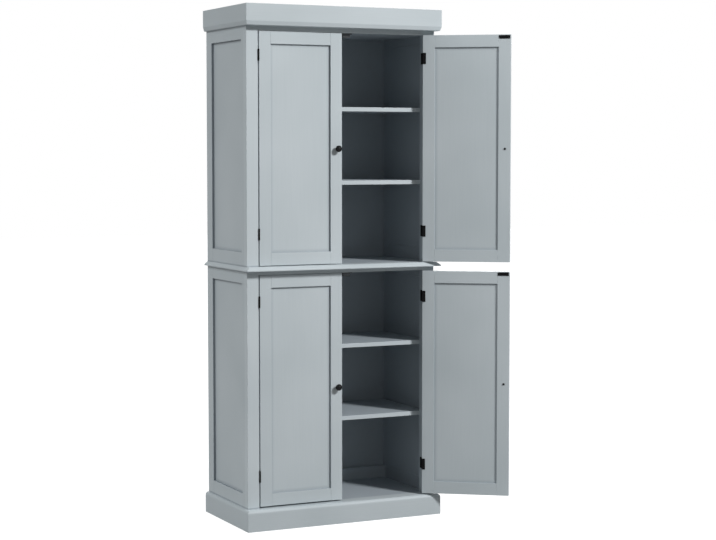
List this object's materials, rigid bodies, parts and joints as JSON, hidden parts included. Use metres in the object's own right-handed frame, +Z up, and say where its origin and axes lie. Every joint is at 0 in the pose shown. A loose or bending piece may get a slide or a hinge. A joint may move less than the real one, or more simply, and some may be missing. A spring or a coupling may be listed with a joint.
{
  "type": "tall kitchen cabinet",
  "caption": "Tall free-standing kitchen cabinet with a plinth, a moulded waist and a cornice, inset frame-and-panel doors on wrap hinges, knobs and loose shelves.",
  "frame": {"origin": "on the floor at the middle of the cabinet's width, on the rear plane that stands against the wall", "axes": "+X to the right as seen from the front, +Y from the front to the rear, +Z up; the face of the case is at Y = -0.380"},
  "size_m": [0.9658, 0.5869, 1.84],
  "materials": {
    "grey_paint": "satin grey-blue paint on board and timber",
    "black_metal": "gloss black enamel on hinges, knobs, strike plates and screws",
    "grey_plastic": "grey moulded plastic with steel pole pieces",
    "pin_steel": "plain zinc-plated steel",
    "dowel_wood": "bare beech"
  },
  "bodies": {
    "cabinet": {"bottom_panel": "grey_paint", "cabinet_screws": "black_metal", "carcass_dowels": "dowel_wood", "cornice_front": "grey_paint", "cornice_left": "grey_paint", "cornice_right": "grey_paint", "frame_hinge_leaves": "black_metal", "hinge_pins": "black_metal", "lower_back_panel": "grey_paint", "lower_back_rail": "grey_paint", "lower_bottom_shelf": "grey_paint", "lower_left_face_stile": "grey_paint", "lower_left_side_frame": "grey_paint", "lower_left_side_panel": "grey_paint", "lower_right_face_stile": "grey_paint", "lower_right_side_frame": "grey_paint", "lower_right_side_panel": "grey_paint", "lower_top_panel": "grey_paint", "lower_top_shelf": "grey_paint", "magnetic_catches": "grey_plastic", "plinth_back": "grey_paint", "plinth_front": "grey_paint", "plinth_left": "grey_paint", "plinth_right": "grey_paint", "shelf_pins": "pin_steel", "top_panel": "grey_paint", "upper_back_panel": "grey_paint", "upper_bottom_shelf": "grey_paint", "upper_left_face_stile": "grey_paint", "upper_left_side_frame": "grey_paint", "upper_left_side_panel": "grey_paint", "upper_right_face_stile": "grey_paint", "upper_right_side_frame": "grey_paint", "upper_right_side_panel": "grey_paint", "upper_top_shelf": "grey_paint", "waist_board": "grey_paint"},
    "upper_left_door": {"upper_left_door_frame": "grey_paint", "upper_left_door_hinge_leaves": "black_metal", "upper_left_door_knob": "black_metal", "upper_left_door_panel": "grey_paint", "upper_left_door_screws": "black_metal", "upper_left_door_strike_plate": "black_metal"},
    "upper_right_door": {"upper_right_door_frame": "grey_paint", "upper_right_door_hinge_leaves": "black_metal", "upper_right_door_knob": "black_metal", "upper_right_door_panel": "grey_paint", "upper_right_door_screws": "black_metal", "upper_right_door_strike_plate": "black_metal"},
    "lower_left_door": {"lower_left_door_frame": "grey_paint", "lower_left_door_hinge_leaves": "black_metal", "lower_left_door_knob": "black_metal", "lower_left_door_panel": "grey_paint", "lower_left_door_screws": "black_metal", "lower_left_door_strike_plate": "black_metal"},
    "lower_right_door": {"lower_right_door_frame": "grey_paint", "lower_right_door_hinge_leaves": "black_metal", "lower_right_door_knob": "black_metal", "lower_right_door_panel": "grey_paint", "lower_right_door_screws": "black_metal", "lower_right_door_strike_plate": "black_metal"}
  },
  "joints": [
    {"name": "upper_left_door_hinge", "type": "hinge", "parent": "cabinet", "child": "upper_left_door", "pos_m": [-0.322, -0.3825, 1.34], "axis": [0, 0, -1], "range_deg": [0, 175]},
    {"name": "upper_right_door_hinge", "type": "hinge", "parent": "cabinet", "child": "upper_right_door", "pos_m": [0.322, -0.3825, 1.34], "axis": [0, 0, 1], "range_deg": [-144, 31]},
    {"name": "lower_left_door_hinge", "type": "hinge", "parent": "cabinet", "child": "lower_left_door", "pos_m": [-0.322, -0.3825, 0.489], "axis": [0, 0, -1], "range_deg": [0, 175]},
    {"name": "lower_right_door_hinge", "type": "hinge", "parent": "cabinet", "child": "lower_right_door", "pos_m": [0.322, -0.3825, 0.489], "axis": [0, 0, 1], "range_deg": [-144, 31]}
  ]
}
